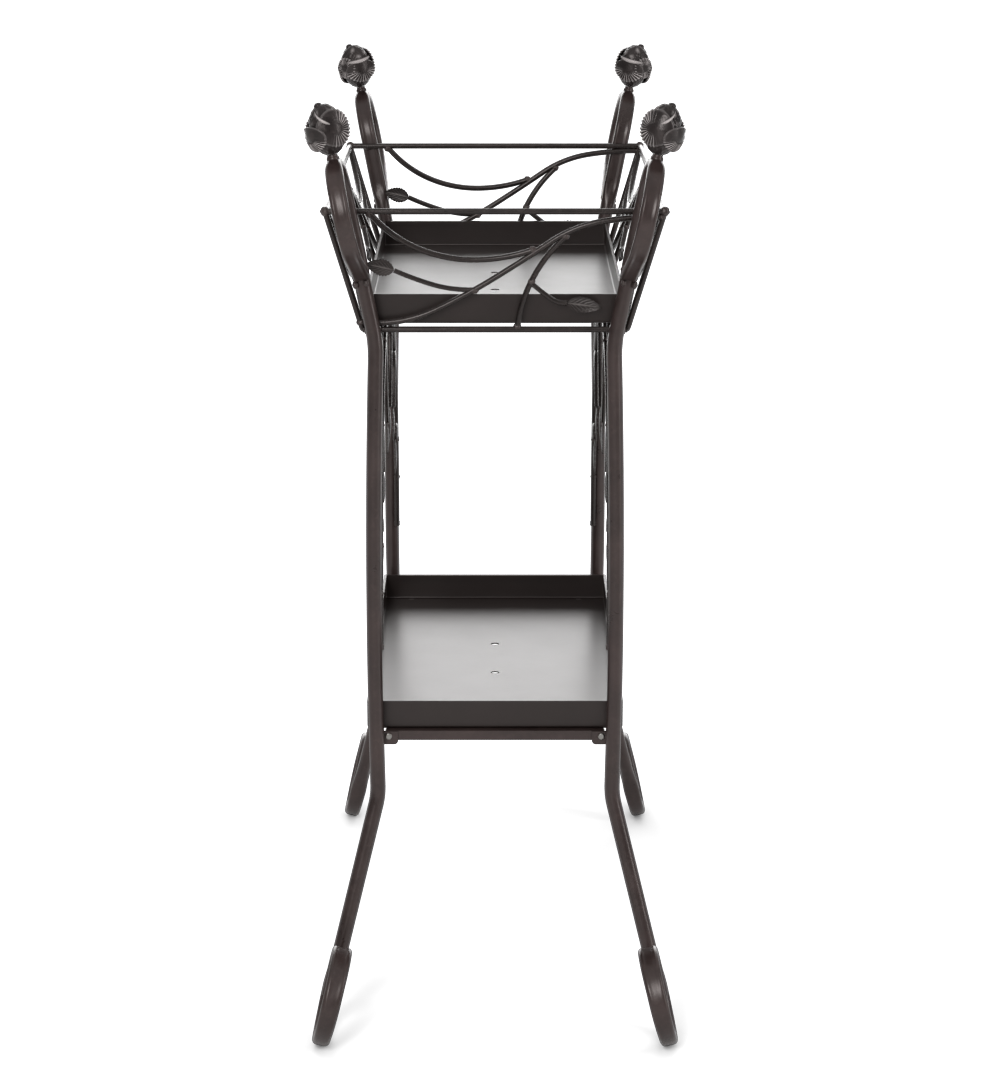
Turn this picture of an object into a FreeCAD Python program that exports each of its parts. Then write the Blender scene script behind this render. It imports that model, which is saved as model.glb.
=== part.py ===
import FreeCAD, Part
import math
import os

# Two-tier metal plant stand with a flared wire basket round its upper tray.
# X is the short direction, Y the long one, Z is up, and the feet stand on Z = 0. Millimetres.

V = FreeCAD.Vector

# Sheet trays
tray_length = 560.0
tray_sheet = 1.2
tray_height = 31.0
tray_bend = 3.0
tray_hem = 2.6
tray_hem_height = 5.0
upper_tray_width = 270.0
upper_tray_bottom = 759.2
lower_tray_width = 275.0
lower_tray_bottom = 317.0
drain_hole_radius = 5.0
drain_hole_y = 62.0
tray_screw_x = 104.0
tray_screw_y = 273.0
tray_screw_length = 11.0
tray_screw_head = 1.7

# Bent tube legs
leg_tube_radius = 8.0
leg_wall = 1.2
leg_y = 300.0
knee_x = 125.8
knee_z = 248.5
knee_radius = 70.0
bow_x = 131.0
bow_z = 495.0
bow_radius = 8900.0
shoulder_x = 124.0
shoulder_z = 742.0
shoulder_radius = 150.0
splay_x = 0.248
flare_x = 0.2
flare_y = 0.045
flat_half_width = 9.8
flat_half_depth = 5.8
flattening_length = 34.0

# Scroll feet: each tube curls outward, up and over, and ends inside its own turn
foot_centre_y = 389.0
foot_radius = 49.0
foot_inner_radius = 31.0
foot_tip_length = 31.0

# Closed loops at the tops of the legs
loop_start_z = 836.0
loop_half_width = 9.1
loop_radius = 50.0
loop_top_z = 941.0
loop_end_z = 813.0
loop_fall_angle = -66.0

# Basket of round wire round the upper tray
wire_radius = 3.0
weld_gap = 0.1
basket_bottom_x = 138.0
basket_top_x = 175.5
basket_bottom_y = leg_y - leg_tube_radius - wire_radius - weld_gap
basket_top_y = 297.2
basket_bottom_z = 754.2
basket_top_z = 879.0
corner_bend_radius = 6.0
cross_bar_width = 16.0
cross_bar_thickness = upper_tray_bottom - basket_bottom_z - wire_radius
cross_bar_y = (-200.0, 0.0, 200.0)

# Vines and leaves
leaf_thickness = 1.6
twig_radius = 2.6

# Aprons that hang from the basket on the long sides
apron_x = 122.0

# Lower tray's bars, tabs and screws
bar_length = 234.0
bar_depth = 18.0
bar_height = 10.0
tab_inner_x = 104.5
tab_outer_x = 128.0
tab_height = 14.0
tab_thickness = 3.0
tab_corner_radius = 4.0
screw_x = 114.3
screw_radius = 2.0
screw_head_radius = 3.6
screw_head_height = 2.4
screw_head_round = 1.2
hole_play = 0.05
nut_across_flats = 7.0
nut_height = 3.2

# Cast bud finials
collar_radius = 6.5
collar_height = 4.0
bud_length = 54.0
bud_radius = 24.0
stud_radius = 2.5
stud_depth = 12.0

os.makedirs("parts", exist_ok=True)

corners = {
    "rear_right": (1, 1),
    "rear_left": (-1, 1),
    "front_right": (1, -1),
    "front_left": (-1, -1),
}


def save(name, solids):
    """Write one node: a single solid, or a group of like solids as a compound."""
    shape = solids[0] if len(solids) == 1 else Part.makeCompound(solids)
    shape.exportStep("parts/" + name + ".step")


def mirrored(solid, side_x, side_y):
    """The piece of the rear right corner, mirrored to another corner."""
    if side_x < 0:
        solid = solid.mirror(V(0, 0, 0), V(1, 0, 0))
    if side_y < 0:
        solid = solid.mirror(V(0, 0, 0), V(0, 1, 0))
    return solid


def at_corners(solid):
    return [mirrored(solid, *signs) for signs in corners.values()]


def largest(shape):
    return max(shape.Solids, key=lambda solid: solid.Volume)


def arc_chain(points, direction):
    """Tangent arcs through the points, leaving the first one along the given direction."""
    edges = []
    for start, end in zip(points, points[1:]):
        chord = end - start
        along = V(chord).normalize()
        direction = V(direction).normalize()
        side = direction - along * direction.dot(along)
        if side.Length < 1e-4:
            edges.append(Part.makeLine(start, end))
            continue
        turn = math.acos(max(-1.0, min(1.0, direction.dot(along))))
        middle = start + chord * 0.5 + side.normalize() * (chord.Length / 2 * math.tan(turn / 2))
        edges.append(Part.Arc(start, middle, end).toShape())
        direction = along * (2 * direction.dot(along)) - direction
    return edges


def bent_path(points, radii):
    """Straight runs between the points, joined by tangent arcs of the given radii."""
    edges = []
    run_start = points[0]
    for before, corner, after, radius in zip(points, points[1:], points[2:], radii):
        back = (before - corner).normalize()
        ahead = (after - corner).normalize()
        half = back.getAngle(ahead) / 2
        setback = radius / math.tan(half)
        arc_start = corner + back * setback
        arc_end = corner + ahead * setback
        bisector = (back + ahead).normalize()
        arc_middle = corner + bisector * (radius / math.sin(half) - radius)
        edges.append(Part.makeLine(run_start, arc_start))
        edges.append(Part.Arc(arc_start, arc_middle, arc_end).toShape())
        run_start = arc_end
    edges.append(Part.makeLine(run_start, points[-1]))
    return edges


def sweep(edges, profile):
    """Carry a closed profile along a chain of edges and return the solid."""
    return Part.Wire(edges).makePipeShell([profile], True, False)


def round_section(centre, normal, radius):
    return Part.Wire(Part.Circle(centre, normal, radius).toShape())


def flat_section(centre, width_way, depth_way, half_width, half_depth):
    """Oval section of a tube that was flattened in bending."""
    oval = Part.Ellipse(centre + width_way * half_width, centre + depth_way * half_depth, centre)
    return Part.Wire(oval.toShape())


def wire(edges, radius=wire_radius):
    """A round wire along a chain of edges."""
    first = edges[0]
    start = first.valueAt(first.FirstParameter)
    normal = first.tangentAt(first.FirstParameter)
    return sweep(edges, round_section(start, normal, radius))


# ---- legs, built at the rear right corner

out_way = V(0, 1, 0)
foot_up = V(-splay_x, 0, 1).normalize()
foot_normal = V(1, 0, splay_x).normalize()
loop_up = V(flare_x, 0, 1).normalize()
loop_normal = V(1, 0, -flare_x).normalize()


def foot_point(outward, height):
    """Point in the splayed plane of the foot, by its distance outward and its height."""
    return V(knee_x + splay_x * (knee_z - height), outward, height)


def loop_point(outward, height):
    """Point in the flared plane of the loop, by its distance outward and its height."""
    return V(shoulder_x + flare_x * (height - shoulder_z), outward, height)


def turn_point(centre, up, radius, degrees):
    """Point on a circle that stands along up, with 0 degrees outward and 90 at its top."""
    angle = math.radians(degrees)
    return centre + out_way * (radius * math.cos(angle)) + up * (radius * math.sin(angle))


def turn_arc(centre, up, radius, first, last):
    points = [turn_point(centre, up, radius, angle) for angle in (first, (first + last) / 2, last)]
    return Part.Arc(*points).toShape()


def foot_geometry():
    """Centre of the scroll, and where the straight shank runs into it."""
    lowest = math.hypot(flat_half_depth * foot_up.z, flat_half_width * foot_normal.z)
    centre = foot_point(foot_centre_y, foot_radius * foot_up.z + lowest)
    knee = foot_point(leg_y, knee_z)
    reach = centre - knee
    swing = math.atan2(reach.dot(out_way), -reach.dot(foot_up))
    tilt = swing - math.asin(foot_radius / reach.Length)
    touch_angle = 180 + math.degrees(tilt)
    return centre, touch_angle, turn_point(centre, foot_up, foot_radius, touch_angle)


def foot_path():
    """The scroll: round under the leg, outward, over the top and down inside to its tip."""
    centre, touch_angle, _ = foot_geometry()
    inner_centre = centre + foot_up * (foot_radius - foot_inner_radius)
    tip_start = turn_point(inner_centre, foot_up, foot_inner_radius, 180)
    return [
        turn_arc(centre, foot_up, foot_radius, touch_angle, 450),
        turn_arc(inner_centre, foot_up, foot_inner_radius, 90, 180),
        Part.makeLine(tip_start, tip_start - foot_up * foot_tip_length),
    ]


def flare_way():
    """The way the leg leans beside the basket."""
    return V(flare_x, flare_y, 1).normalize()


def loop_geometry():
    """Centre of the loop, the angle where the leaning leg runs into it, and where it starts to fall."""
    lean = math.atan2(flare_way().dot(out_way), flare_way().dot(loop_up))
    centre_z = loop_top_z - flat_half_depth - loop_radius * loop_up.z
    touch_z = centre_z + loop_radius * math.sin(lean) * loop_up.z
    touch = loop_point(leg_y, shoulder_z) + flare_way() * ((touch_z - shoulder_z) / flare_way().z)
    centre = touch + out_way * (loop_radius * math.cos(lean)) - loop_up * (loop_radius * math.sin(lean))
    return centre, 180 - math.degrees(lean), loop_fall_angle


def loop_start():
    """Where the leg's tube is fully flattened, below the loop's round part."""
    centre, first, _ = loop_geometry()
    round_start = turn_point(centre, loop_up, loop_radius, first)
    return round_start - flare_way() * ((round_start.z - loop_start_z) / flare_way().z)


def loop_path():
    """The loop: up, over the outward side and slanting back down to the leg."""
    centre, first, last = loop_geometry()
    fall_start = turn_point(centre, loop_up, loop_radius, last)
    fall_way = out_way * math.sin(math.radians(last)) - loop_up * math.cos(math.radians(last))
    fall_end = fall_start + fall_way * ((fall_start.z - loop_end_z) / -fall_way.z)
    return [
        Part.makeLine(loop_start(), turn_point(centre, loop_up, loop_radius, first)),
        turn_arc(centre, loop_up, loop_radius, first, last),
        Part.makeLine(fall_start, fall_end),
    ]


def leg_runs(inset):
    """One leg's runs as solids, with every section made smaller by the inset."""
    tube = leg_tube_radius - inset
    foot_width = flat_half_width - inset
    loop_width = loop_half_width - inset
    depth = flat_half_depth - inset
    _, _, touch = foot_geometry()
    knee = foot_point(leg_y, knee_z)
    bow = V(bow_x, leg_y, bow_z)
    shoulder = loop_point(leg_y, shoulder_z)
    shank_way = (touch - knee).normalize()
    shank_end = touch - shank_way * flattening_length
    flare_end = loop_start() - flare_way() * flattening_length
    foot_section = flat_section(touch, foot_normal, foot_normal.cross(shank_way), foot_width, depth)
    loop_section = flat_section(loop_start(), loop_normal, loop_normal.cross(flare_way()), loop_width, depth)
    main_points = [shank_end, knee, bow, shoulder, flare_end]
    main_edges = bent_path(main_points, [knee_radius, bow_radius, shoulder_radius])
    return {
        "scroll": sweep(foot_path(), foot_section),
        "foot_flattening": Part.makeLoft([round_section(shank_end, shank_way, tube), foot_section], True),
        "upright": sweep(main_edges, round_section(shank_end, -shank_way, tube)),
        "loop_flattening": Part.makeLoft([round_section(flare_end, flare_way(), tube), loop_section], True),
        "loop": sweep(loop_path(), loop_section),
    }


def make_leg():
    """A leg is one bent tube, open at the foot's tip, with its loop closed against itself."""
    outer = leg_runs(0.0)
    inner = leg_runs(leg_wall)
    straight = outer["loop_flattening"].fuse(outer["upright"])
    outer["loop"] = largest(outer["loop"].cut(straight))
    runs = [largest(outer[name].cut(inner[name])) for name in outer]
    return largest(runs[0].fuse(runs[1:]))


# ---- finials


def finial_base():
    """Foot point of the finial, on top of the loop."""
    centre, _, _ = loop_geometry()
    return turn_point(centre, loop_up, loop_radius + flat_half_depth, 90)


def turned(edges, base):
    """Turn a closed profile about the finial's axis, from the given base."""
    solid = Part.Face(Part.Wire(edges)).revolve(V(0, 0, 0), V(0, 0, 1), 360)
    solid.Placement = FreeCAD.Placement(base, FreeCAD.Rotation(V(0, 0, 1), loop_up))
    return solid


def make_collar():
    """Short waisted collar between the loop and the bud, bored for the stud."""
    waist = collar_radius - 1.2
    profile = [
        (stud_radius, 0),
        (collar_radius, 0),
        (collar_radius, 0.25 * collar_height),
        (waist, 0.45 * collar_height),
        (waist, 0.75 * collar_height),
        (collar_radius - 0.6, collar_height),
        (stud_radius, collar_height),
    ]
    points = [V(radius, 0, height) for radius, height in profile]
    return turned(Part.makePolygon(points + [points[0]]).Edges, finial_base())


def make_bud():
    """Closed bud: a round body that tapers to its collar and to a blunt point."""
    foot = V(6, 0, 0)
    low = V(0.84 * bud_radius, 0, 0.19 * bud_length)
    widest = V(bud_radius, 0, 0.46 * bud_length)
    high = V(0.8 * bud_radius, 0, 0.8 * bud_length)
    tip = V(5, 0, bud_length)
    bore_foot = V(stud_radius, 0, 0)
    bore_end = V(stud_radius, 0, stud_depth)
    outline = [tip, V(0, 0, bud_length), V(0, 0, stud_depth), bore_end, bore_foot, foot]
    edges = [Part.Arc(foot, low, widest).toShape(), Part.Arc(widest, high, tip).toShape()]
    edges += Part.makePolygon(outline).Edges
    return turned(edges, finial_base() + loop_up * collar_height)


def make_stud():
    return Part.makeCylinder(stud_radius, collar_height + stud_depth, finial_base(), loop_up)


# ---- trays


def rounded_box(width, length, low, high, radius):
    """Box with its upright edges and its bottom edges rounded."""
    box = Part.makeBox(width, length, high - low, V(-width / 2, -length / 2, low))
    chosen = []
    for edge in box.Edges:
        upright = abs(edge.tangentAt(edge.FirstParameter).z) > 0.5
        bottom = edge.BoundBox.ZMax < low + 0.01
        if upright or bottom:
            chosen.append(edge)
    return box.makeFillet(radius, chosen)


def make_tray(width, bottom):
    """Folded sheet tray with hemmed walls and two drain holes on its long centre line."""
    top = bottom + tray_height
    shell = rounded_box(width, tray_length, bottom, top, tray_bend)
    inset = 2 * tray_hem
    throat = Part.makeBox(width - inset, tray_length - inset, 2 * tray_height,
                          V(-(width - inset) / 2, -(tray_length - inset) / 2, bottom + tray_bend))
    inner_width = width - 2 * tray_sheet
    inner_length = tray_length - 2 * tray_sheet
    inner_top = top - tray_hem_height
    hollow = rounded_box(inner_width, inner_length, bottom + tray_sheet, inner_top, tray_bend - tray_sheet)
    tray = shell.cut(hollow.fuse(throat))
    for side in (-1, 1):
        foot = V(0, side * drain_hole_y, bottom - tray_sheet)
        tray = tray.cut(Part.makeCylinder(drain_hole_radius, 4 * tray_sheet, foot))
    return tray


def tray_screw_places():
    return [V(x * tray_screw_x, y * tray_screw_y, 0) for x in (-1, 1) for y in (-1, 1)]


def screw_cones(top_z, spread):
    """Countersinks at the tray screws: cones that open upward, wider than the head by the spread."""
    down = V(0, 0, top_z - tray_screw_head)
    return [Part.makeCone(screw_radius + spread, screw_head_radius + spread, tray_screw_head, place + down)
            for place in tray_screw_places()]


def tray_screw_holes():
    """Upright holes for the tray screws, through the dimples and the end bars."""
    low_z = lower_tray_bottom - bar_height - 1
    depth = 2 * bar_height
    return [Part.makeCylinder(screw_radius + hole_play, depth, place + V(0, 0, low_z))
            for place in tray_screw_places()]


def make_lower_tray():
    """The lower tray, with its floor dimpled down into the end bars so that the screw heads lie flush."""
    floor_z = lower_tray_bottom + tray_sheet
    tray = make_tray(lower_tray_width, lower_tray_bottom).fuse(screw_cones(lower_tray_bottom, tray_sheet))
    return tray.cut(screw_cones(floor_z, hole_play) + tray_screw_holes())


def make_tray_screws():
    """Countersunk screws that hold the lower tray down to its end bars."""
    floor_z = lower_tray_bottom + tray_sheet
    screws = []
    for place, head in zip(tray_screw_places(), screw_cones(floor_z, 0)):
        foot = place + V(0, 0, floor_z - tray_screw_length)
        shank = Part.makeCylinder(screw_radius, tray_screw_length - tray_screw_head, foot)
        screws.append(shank.fuse(head))
    return screws


# ---- basket rails


def basket_corner(side_x, side_y, level):
    """Corner of the basket's wire frame, with level 0 at its bottom rails and 1 at its top rails."""
    x = basket_bottom_x + (basket_top_x - basket_bottom_x) * level
    y = basket_bottom_y + (basket_top_y - basket_bottom_y) * level
    z = basket_bottom_z + (basket_top_z - basket_bottom_z) * level
    return V(x * side_x, y * side_y, z)


def cope(shape, hosts):
    """Cut a wire's ends to lie against the wires it is welded to."""
    return largest(shape.cut(hosts))


def jacket(edges):
    """A wire's own solid with the weld gap all round, to cope its neighbours with."""
    return wire(edges, wire_radius + weld_gap)


def end_rail_edges(side_y, level):
    return [Part.makeLine(basket_corner(-1, side_y, level), basket_corner(1, side_y, level))]


def side_rail_edges(side_x, level):
    """The top rail runs past the corner rods, and the bottom rail stops where their bends start."""
    front = basket_corner(side_x, -1, level)
    rear = basket_corner(side_x, 1, level)
    shortening = corner_bend_radius + weld_gap if level == 0 else -wire_radius
    return [Part.makeLine(front + out_way * shortening, rear - out_way * shortening)]


def corner_rod_edges(side_x, side_y):
    """Sloping rod at a corner, bent at its foot to run into the bottom rail."""
    foot = basket_corner(side_x, side_y, 0)
    top = basket_corner(side_x, side_y, 1)
    up = (top - foot).normalize()
    inward = V(0, -side_y, 0)
    half = up.getAngle(inward) / 2
    radius = corner_bend_radius * math.tan(half)
    bend_low = foot + inward * corner_bend_radius
    bend_high = foot + up * corner_bend_radius
    bisector = (up + inward).normalize()
    middle = foot + bisector * (radius / math.sin(half) - radius)
    return [Part.Arc(bend_low, middle, bend_high).toShape(), Part.makeLine(bend_high, top)]


def rod_jackets(chosen):
    return [jacket(corner_rod_edges(*signs)) for signs in chosen]


def make_end_rail(side_y, level):
    hosts = rod_jackets([(-1, side_y), (1, side_y)])
    if level == 1:
        hosts += [jacket(side_rail_edges(side_x, 1)) for side_x in (-1, 1)]
    return cope(wire(end_rail_edges(side_y, level)), hosts)


def make_corner_rod(side_x, side_y):
    return cope(wire(corner_rod_edges(side_x, side_y)), [jacket(side_rail_edges(side_x, 1))])


def make_cross_bars():
    """Flat bars laid on the bottom rails, which carry the upper tray."""
    length = 2 * basket_bottom_x
    low = basket_bottom_z + wire_radius
    corners_of_bars = [V(-length / 2, y - cross_bar_width / 2, low) for y in cross_bar_y]
    return [Part.makeBox(length, cross_bar_width, cross_bar_thickness, corner) for corner in corners_of_bars]


# ---- vines and leaves

# One spray of vine, as (across, up) in a gallery's plane: across from the middle of an end,
# up from the bottom rail's line. Each wire is the way it sets off and the points it bends through.
# Branches start or end on the middle line of the wire that they are welded to.
end_stem = ((1, -0.12), (-140.5, 8), (-62, 21), (3, 57), (58, 93), (112, 114.5), (173.5, 119))
side_stem = ((1, 0.1), (-114, 0), (-24, 39), (58, 93), (112, 114.5), (158, 124.8))
upper_branch = ((0.62, -0.78), (-131, 124.8), (-78, 85), (-24, 74), (40, 84.5))
left_branch = ((-1, -0.05), (-20, 42.5), (-67, 48.5), (-105, 63))
lower_branch = ((-0.75, -0.66), (74, 99), (44, 63), (32, 38), (23, 0))
right_branch = ((0.75, -0.66), (37, 50), (58, 33), (75, 28.2))
left_leaf = ((-134, 69.5), 17.0)
right_leaf = ((111, 23.5), 17.0)


def end_place(side_y):
    """Puts a spray's (across, up) on one end of the basket."""
    lean = (basket_top_y - basket_bottom_y) / (basket_top_z - basket_bottom_z)

    def place(across, up):
        return V(across, side_y * (basket_bottom_y + lean * up), basket_bottom_z + up)
    return place


def side_place(side_x, half):
    """Puts a spray on one half of a long side: half 1 toward the rear, half -1 mirrored to the front."""
    lean = (basket_top_x - basket_bottom_x) / (basket_top_z - basket_bottom_z)
    squeeze = 0.94

    def place(across, up):
        outward = basket_bottom_y - squeeze * (across + basket_bottom_x)
        return V(side_x * (basket_bottom_x + lean * up), half * outward, basket_bottom_z + up)
    return place


def plane_edges(place, way, *points):
    """Tangent arcs through points of a gallery's plane, setting off along the given way."""
    spots = [place(*point) for point in points]
    ahead = place(points[0][0] + way[0], points[0][1] + way[1]) - spots[0]
    return arc_chain(spots, ahead)


def make_leaf(place, twig_edges, tip, width):
    """Stamped leaf: a thin pointed oval from its twig's end to its tip, in the gallery's plane."""
    end = place(*tip)
    last = twig_edges[-1].Vertexes[-1].Point
    along = (end - last).normalize()
    start = last + along * weld_gap
    normal = (place(1, 0) - place(0, 0)).cross(place(0, 1) - place(0, 0)).normalize()
    across = normal.cross(along)
    middle = start + (end - start) * 0.45
    edges = [
        Part.Arc(start, middle + across * (width / 2), end).toShape(),
        Part.Arc(end, middle - across * (width / 2), start).toShape(),
    ]
    face = Part.Face(Part.Wire(edges))
    face.translate(normal * (-leaf_thickness / 2))
    return cope(face.extrude(normal * leaf_thickness), [wire(twig_edges, twig_radius)])


def spray(place, stem_points, hosts):
    """The stem, the branches and the leaves of one spray, coped to the frame round it."""
    stem = plane_edges(place, *stem_points)
    lower = plane_edges(place, *lower_branch)
    left = plane_edges(place, *left_branch)
    right = plane_edges(place, *right_branch)
    on_stem = [jacket(stem)]
    return {
        "stem": cope(wire(stem), hosts),
        "upper_branch": cope(wire(plane_edges(place, *upper_branch)), hosts + on_stem),
        "left_branch": cope(wire(left, twig_radius), on_stem),
        "lower_branch": cope(wire(lower), hosts + on_stem),
        "right_branch": cope(wire(right, twig_radius), [jacket(lower)]),
        "left_leaf": make_leaf(place, left, *left_leaf),
        "right_leaf": make_leaf(place, right, *right_leaf),
    }


def end_spray(side_y):
    hosts = rod_jackets([(-1, side_y), (1, side_y)])
    hosts += [jacket(end_rail_edges(side_y, level)) for level in (0, 1)]
    return spray(end_place(side_y), end_stem, hosts)


def side_spray(side_x, half):
    hosts = rod_jackets([(side_x, half)])
    hosts += [jacket(side_rail_edges(side_x, level)) for level in (0, 1)]
    return spray(side_place(side_x, half), side_stem, hosts)


# Half of an apron, as (outward, height): outward from the stand's middle, height above the floor.
apron_stem = ((0.0, 1.0), (290.0, 409), (281, 520), (225, 640), (120, 712), (3.2, 757))
apron_brace = ((0.0, 1.0), (258, 585), (246, 670), (206, 757))
apron_twigs = (
    ((-0.6, 0.8), (281, 520), (263, 540), (248, 528)),
    ((-1.0, 0.1), (225, 640), (197, 620), (181, 580)),
    ((-1.0, -0.1), (120, 712), (78, 675), (44, 608)),
)
apron_leaves = (((243, 482), 17.0), ((166, 541), 17.0), ((28, 566), 17.0))


def apron_half(side_x, half):
    """One half of an apron: the arching stem, its brace, its twigs and their leaves."""
    def place(outward, height):
        return V(side_x * apron_x, half * outward, height)

    stem = plane_edges(place, *apron_stem)
    bars = make_cross_bars()
    twigs = [plane_edges(place, *twig) for twig in apron_twigs]
    on_stem = [jacket(stem)]
    brace = wire(plane_edges(place, *apron_brace), twig_radius)
    return {
        "stem": cope(wire(stem), bars),
        "brace": cope(brace, on_stem + bars),
        "twigs": [cope(wire(twig, twig_radius), on_stem) for twig in twigs],
        "leaves": [make_leaf(place, twig, *leaf) for twig, leaf in zip(twigs, apron_leaves)],
    }


# ---- lower tray's bars, tabs and screws, built at the rear right corner

leg_inner_y = leg_y - leg_tube_radius
tab_y = leg_inner_y - tab_thickness - weld_gap
bar_y = tab_y - bar_depth
screw_z = lower_tray_bottom - bar_height / 2


def screw_hole(side_x=1):
    """Level hole for a tab screw, through the tab, the end bar and the nut."""
    length = tab_thickness + bar_depth + nut_height + 2
    centre = V(side_x * screw_x, tab_y + tab_thickness + 1 - length, screw_z)
    return Part.makeCylinder(screw_radius + hole_play, length, centre, out_way)


def make_end_bar():
    """Flat bar under one end of the lower tray, between the two legs' tabs."""
    corner = V(-bar_length / 2, bar_y, lower_tray_bottom - bar_height)
    bar = Part.makeBox(bar_length, bar_depth, bar_height, corner)
    sinks = screw_cones(lower_tray_bottom, tray_sheet + hole_play)
    return bar.cut([screw_hole(-1), screw_hole(1)] + sinks + tray_screw_holes())


def make_tab():
    """Small plate welded behind a leg, which the end bar is screwed to."""
    low_z = lower_tray_bottom - tab_height
    tab = Part.makeBox(tab_outer_x - tab_inner_x, tab_thickness, tab_height, V(tab_inner_x, tab_y, low_z))
    lower_inner = [edge for edge in tab.Edges
                   if edge.BoundBox.ZMax < low_z + 0.01 and edge.BoundBox.XMax < tab_inner_x + 0.01]
    return tab.makeFillet(tab_corner_radius, lower_inner).cut(screw_hole())


def make_screw():
    """Pan-head screw through a tab and the end bar, with its head outside."""
    seat_y = tab_y + tab_thickness
    shank_length = tab_thickness + bar_depth + nut_height + 1.5
    seat = V(screw_x, seat_y, screw_z)
    shank = Part.makeCylinder(screw_radius, shank_length, seat - out_way * shank_length, out_way)
    head = Part.makeCylinder(screw_head_radius, screw_head_height, seat, out_way)
    rim = [edge for edge in head.Edges if edge.CenterOfMass.y > seat_y + screw_head_height - 0.01]
    return shank.fuse(head.makeFillet(screw_head_round, rim))


def make_nut():
    corner = nut_across_flats / 2 / math.cos(math.radians(30))
    centre = V(screw_x, bar_y - nut_height, screw_z)
    points = []
    for step in range(7):
        angle = math.radians(60 * step)
        points.append(centre + V(corner * math.cos(angle), 0, corner * math.sin(angle)))
    return Part.Face(Part.makePolygon(points)).extrude(out_way * nut_height).cut(screw_hole())


# ---- build

leg = make_leg()
bud = make_bud()
for name, signs in corners.items():
    save("leg_" + name, [mirrored(leg, *signs)])
    save("bud_finial_" + name, [mirrored(bud, *signs)])
save("finial_collars", at_corners(make_collar()))
save("finial_studs", at_corners(make_stud()))

save("upper_tray", [make_tray(upper_tray_width, upper_tray_bottom)])
save("lower_tray", [make_lower_tray()])
save("tray_screws", make_tray_screws())

end_bar = make_end_bar()
for end, side_y in (("front", -1), ("rear", 1)):
    save("basket_" + end + "_bottom_rail", [make_end_rail(side_y, 0)])
    save("basket_" + end + "_top_rail", [make_end_rail(side_y, 1)])
    save("lower_tray_bar_" + end, [mirrored(end_bar, 1, side_y)])
    for piece, solid in end_spray(side_y).items():
        save(end + "_vine_" + piece, [solid])

branch_names = ("upper_branch", "left_branch", "lower_branch", "right_branch")
for side, side_x in (("left", -1), ("right", 1)):
    save("basket_" + side + "_bottom_rail", [wire(side_rail_edges(side_x, 0))])
    save("basket_" + side + "_top_rail", [wire(side_rail_edges(side_x, 1))])
    sprays = [side_spray(side_x, half) for half in (-1, 1)]
    save(side + "_vine_stems", [pieces["stem"] for pieces in sprays])
    save(side + "_vine_branches", [pieces[name] for pieces in sprays for name in branch_names])
    save(side + "_vine_leaves", [pieces[name] for pieces in sprays for name in ("left_leaf", "right_leaf")])
    halves = [apron_half(side_x, half) for half in (-1, 1)]
    save(side + "_apron_stems", [pieces["stem"] for pieces in halves])
    save(side + "_apron_braces", [pieces["brace"] for pieces in halves])
    save(side + "_apron_twigs", [twig for pieces in halves for twig in pieces["twigs"]])
    save(side + "_apron_leaves", [leaf for pieces in halves for leaf in pieces["leaves"]])

save("basket_corner_rods", [make_corner_rod(*signs) for signs in corners.values()])
save("tray_cross_bars", make_cross_bars())
save("leg_tabs", at_corners(make_tab()))
save("tab_screws", at_corners(make_screw()))
save("tab_nuts", at_corners(make_nut()))
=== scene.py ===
import math

import bmesh
import bpy
import numpy as np
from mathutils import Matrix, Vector


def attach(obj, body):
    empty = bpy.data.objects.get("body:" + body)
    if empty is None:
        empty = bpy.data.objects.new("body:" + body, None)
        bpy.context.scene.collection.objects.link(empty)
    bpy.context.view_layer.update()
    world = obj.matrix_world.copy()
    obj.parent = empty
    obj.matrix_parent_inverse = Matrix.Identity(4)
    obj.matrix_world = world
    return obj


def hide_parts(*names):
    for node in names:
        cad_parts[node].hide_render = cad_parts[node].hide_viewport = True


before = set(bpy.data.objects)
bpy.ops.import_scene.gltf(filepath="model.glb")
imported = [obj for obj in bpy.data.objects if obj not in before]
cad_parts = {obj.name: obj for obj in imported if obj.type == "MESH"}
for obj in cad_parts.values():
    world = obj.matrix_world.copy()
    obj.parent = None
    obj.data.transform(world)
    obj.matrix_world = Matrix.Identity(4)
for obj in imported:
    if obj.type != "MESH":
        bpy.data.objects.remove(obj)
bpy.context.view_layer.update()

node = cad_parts


# Legs. Each is one length of thin steel tube, bent cold into a scroll foot, a splayed shank, an upright and a
# loop. The bender flattened the tube at its tight turns and dished the outside of each one. The loop's cut end
# is welded back against the tube, and the whole stand is powder coated in satin dark bronze after welding.

leg_y, tube_radius = 0.300, 0.008
knee_x, knee_z, knee_radius = 0.1258, 0.2485, 0.070
bow_x, bow_z, bow_radius = 0.131, 0.495, 8.9
shoulder_x, shoulder_z, shoulder_radius = 0.124, 0.742, 0.150
splay, flare_x, flare_y = 0.248, 0.2, 0.045
scroll_y, scroll_radius, scroll_inner_radius, tip_length = 0.389, 0.049, 0.031, 0.031
loop_start_z, loop_top_z, loop_end_z = 0.836, 0.941, 0.813
loop_radius, loop_fall = 0.050, math.radians(-66)
scroll_width, loop_width, flat_depth, flattening_run = 0.0098, 0.0091, 0.0058, 0.038
squareness, dish_depth, dish_share = 0.16, 0.0021, 0.58
arc_step, bend_steps, stations = 0.0015, 40, 620
corners = {"rear_right": (1, 1), "rear_left": (-1, 1), "front_right": (1, -1), "front_left": (-1, -1)}


def unit(vector):
    """A vector, or each of a row of them, divided by its length."""
    vector = np.asarray(vector, float)
    return vector / np.linalg.norm(vector, axis=-1, keepdims=True)


out_way = np.array([0.0, 1.0, 0.0])
foot_up, foot_normal = unit([-splay, 0, 1]), unit([1, 0, splay])
loop_up, loop_normal = unit([flare_x, 0, 1]), unit([1, 0, -flare_x])
flare_way = unit([flare_x, flare_y, 1])


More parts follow.
